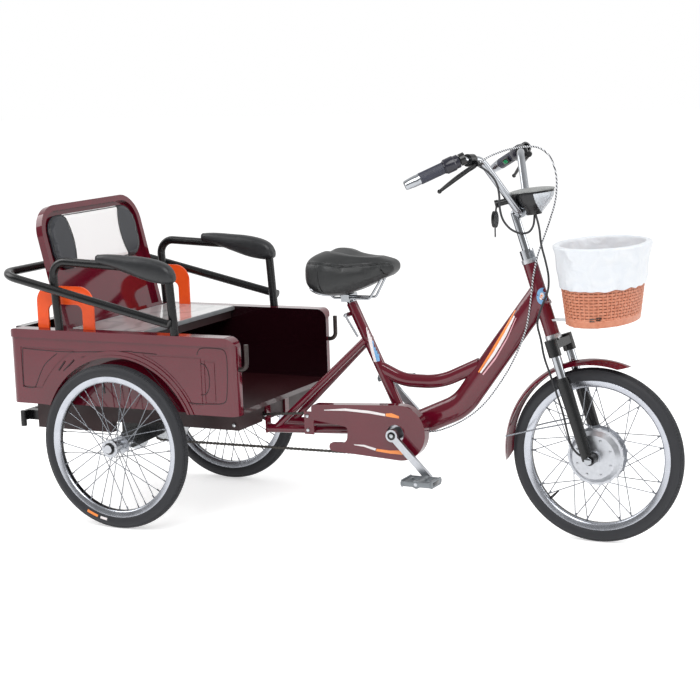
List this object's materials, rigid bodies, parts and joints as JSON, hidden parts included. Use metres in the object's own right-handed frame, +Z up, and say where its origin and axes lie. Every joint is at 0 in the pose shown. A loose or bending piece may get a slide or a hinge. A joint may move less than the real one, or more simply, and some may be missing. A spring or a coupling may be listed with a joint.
{
  "type": "cycle rickshaw",
  "caption": "Three-wheeled pedal rickshaw with a hub motor, passenger box over the rear axle, armrests, seat back, step-through frame and front basket.",
  "frame": {"origin": "on the ground, in the middle of the length and width", "axes": "+X forward, +Y to the rider's left, +Z up"},
  "size_m": [2.0216, 0.75, 1.109],
  "materials": {
    "maroon_paint": "gloss",
    "maroon_panel": "gloss",
    "black_tube": "satin",
    "black_foam": "matte",
    "chrome": "polished",
    "alloy": "satin",
    "steel": "bright",
    "dark_steel": "satin",
    "tyre": "matte",
    "black_plastic": "matte",
    "vinyl": "satin",
    "pad_vinyl": "satin",
    "board": "gloss",
    "orange_paint": "gloss",
    "basket_plastic": "satin",
    "clear_lens": "clear",
    "rubber_sheath": "satin",
    "braid": "satin"
  },
  "bodies": {
    "frame": {"head_tube": "maroon_paint", "headset_cups": "steel", "seat_tube": "maroon_paint", "down_tube": "maroon_paint", "step_tube": "maroon_paint", "rear_stays": "maroon_paint", "seat_post": "chrome", "saddle": "vinyl", "chain": "steel", "chain_guard": "maroon_paint", "box_floor": "maroon_panel", "box_rear_wall": "maroon_panel", "box_side_left": "maroon_panel", "box_side_right": "maroon_panel", "seat_bearers": "dark_steel", "seat_board": "board", "chassis": "dark_steel", "tail_bar": "black_tube", "rear_axle": "steel", "axle_brackets": "black_tube", "backrest_frame": "maroon_panel", "backrest_pad": "pad_vinyl", "armrest_tubes": "black_tube", "armrest_pads": "black_foam", "grab_handles": "orange_paint", "gate_latches": "steel", "basket": "basket_plastic", "basket_bracket": "steel", "rear_brake_cable": "braid"},
    "steering": {"fork_crown": "black_tube", "fork_stanchions": "chrome", "fork_legs": "black_tube", "front_axle": "steel", "stem": "chrome", "handlebar": "chrome", "grip_right": "black_foam", "throttle_left": "black_plastic", "brake_levers": "black_tube", "headlamp": "black_plastic", "headlamp_lens": "clear_lens", "front_fender": "maroon_paint", "fender_stays": "steel", "key_switch": "black_plastic", "steering_wires": "rubber_sheath", "lever_cable": "braid"},
    "front_wheel": {"front_tyre": "tyre", "front_rim": "alloy", "front_spokes": "steel", "front_hub_motor": "alloy"},
    "right_wheel": {"right_wheel_tyre": "tyre", "right_wheel_rim": "alloy", "right_wheel_spokes": "steel", "right_wheel_hub": "alloy"},
    "left_wheel": {"left_wheel_tyre": "tyre", "left_wheel_rim": "alloy", "left_wheel_spokes": "steel", "left_wheel_hub": "alloy"},
    "crank": {"crankset": "alloy"},
    "right_pedal": {"pedal_right": "dark_steel"},
    "left_pedal": {"pedal_left": "dark_steel"}
  },
  "joints": [
    {"name": "steering_turn", "type": "hinge", "parent": "frame", "child": "steering", "pos_m": [0.6055, 0, 0.67939], "axis": [-0.3007, 0, 0.9537], "range_deg": [-45, 45]},
    {"name": "front_wheel_spin", "type": "hinge", "parent": "steering", "child": "front_wheel", "pos_m": [0.76385, 0, 0.247], "axis": [0, 1, 0], "continuous": true},
    {"name": "right_wheel_spin", "type": "hinge", "parent": "frame", "child": "right_wheel", "pos_m": [-0.61115, -0.332, 0.247], "axis": [0, 1, 0], "continuous": true},
    {"name": "left_wheel_spin", "type": "hinge", "parent": "frame", "child": "left_wheel", "pos_m": [-0.61115, 0.332, 0.247], "axis": [0, 1, 0], "continuous": true},
    {"name": "crank_spin", "type": "hinge", "parent": "frame", "child": "crank", "pos_m": [0.18885, 0, 0.287], "axis": [0, 1, 0], "continuous": true},
    {"name": "right_pedal_spin", "type": "hinge", "parent": "crank", "child": "right_pedal", "pos_m": [0.2997, -0.167, 0.17301], "axis": [0, 1, 0], "continuous": true},
    {"name": "left_pedal_spin", "type": "hinge", "parent": "crank", "child": "left_pedal", "pos_m": [0.078, 0.167, 0.40099], "axis": [0, 1, 0], "continuous": true}
  ]
}
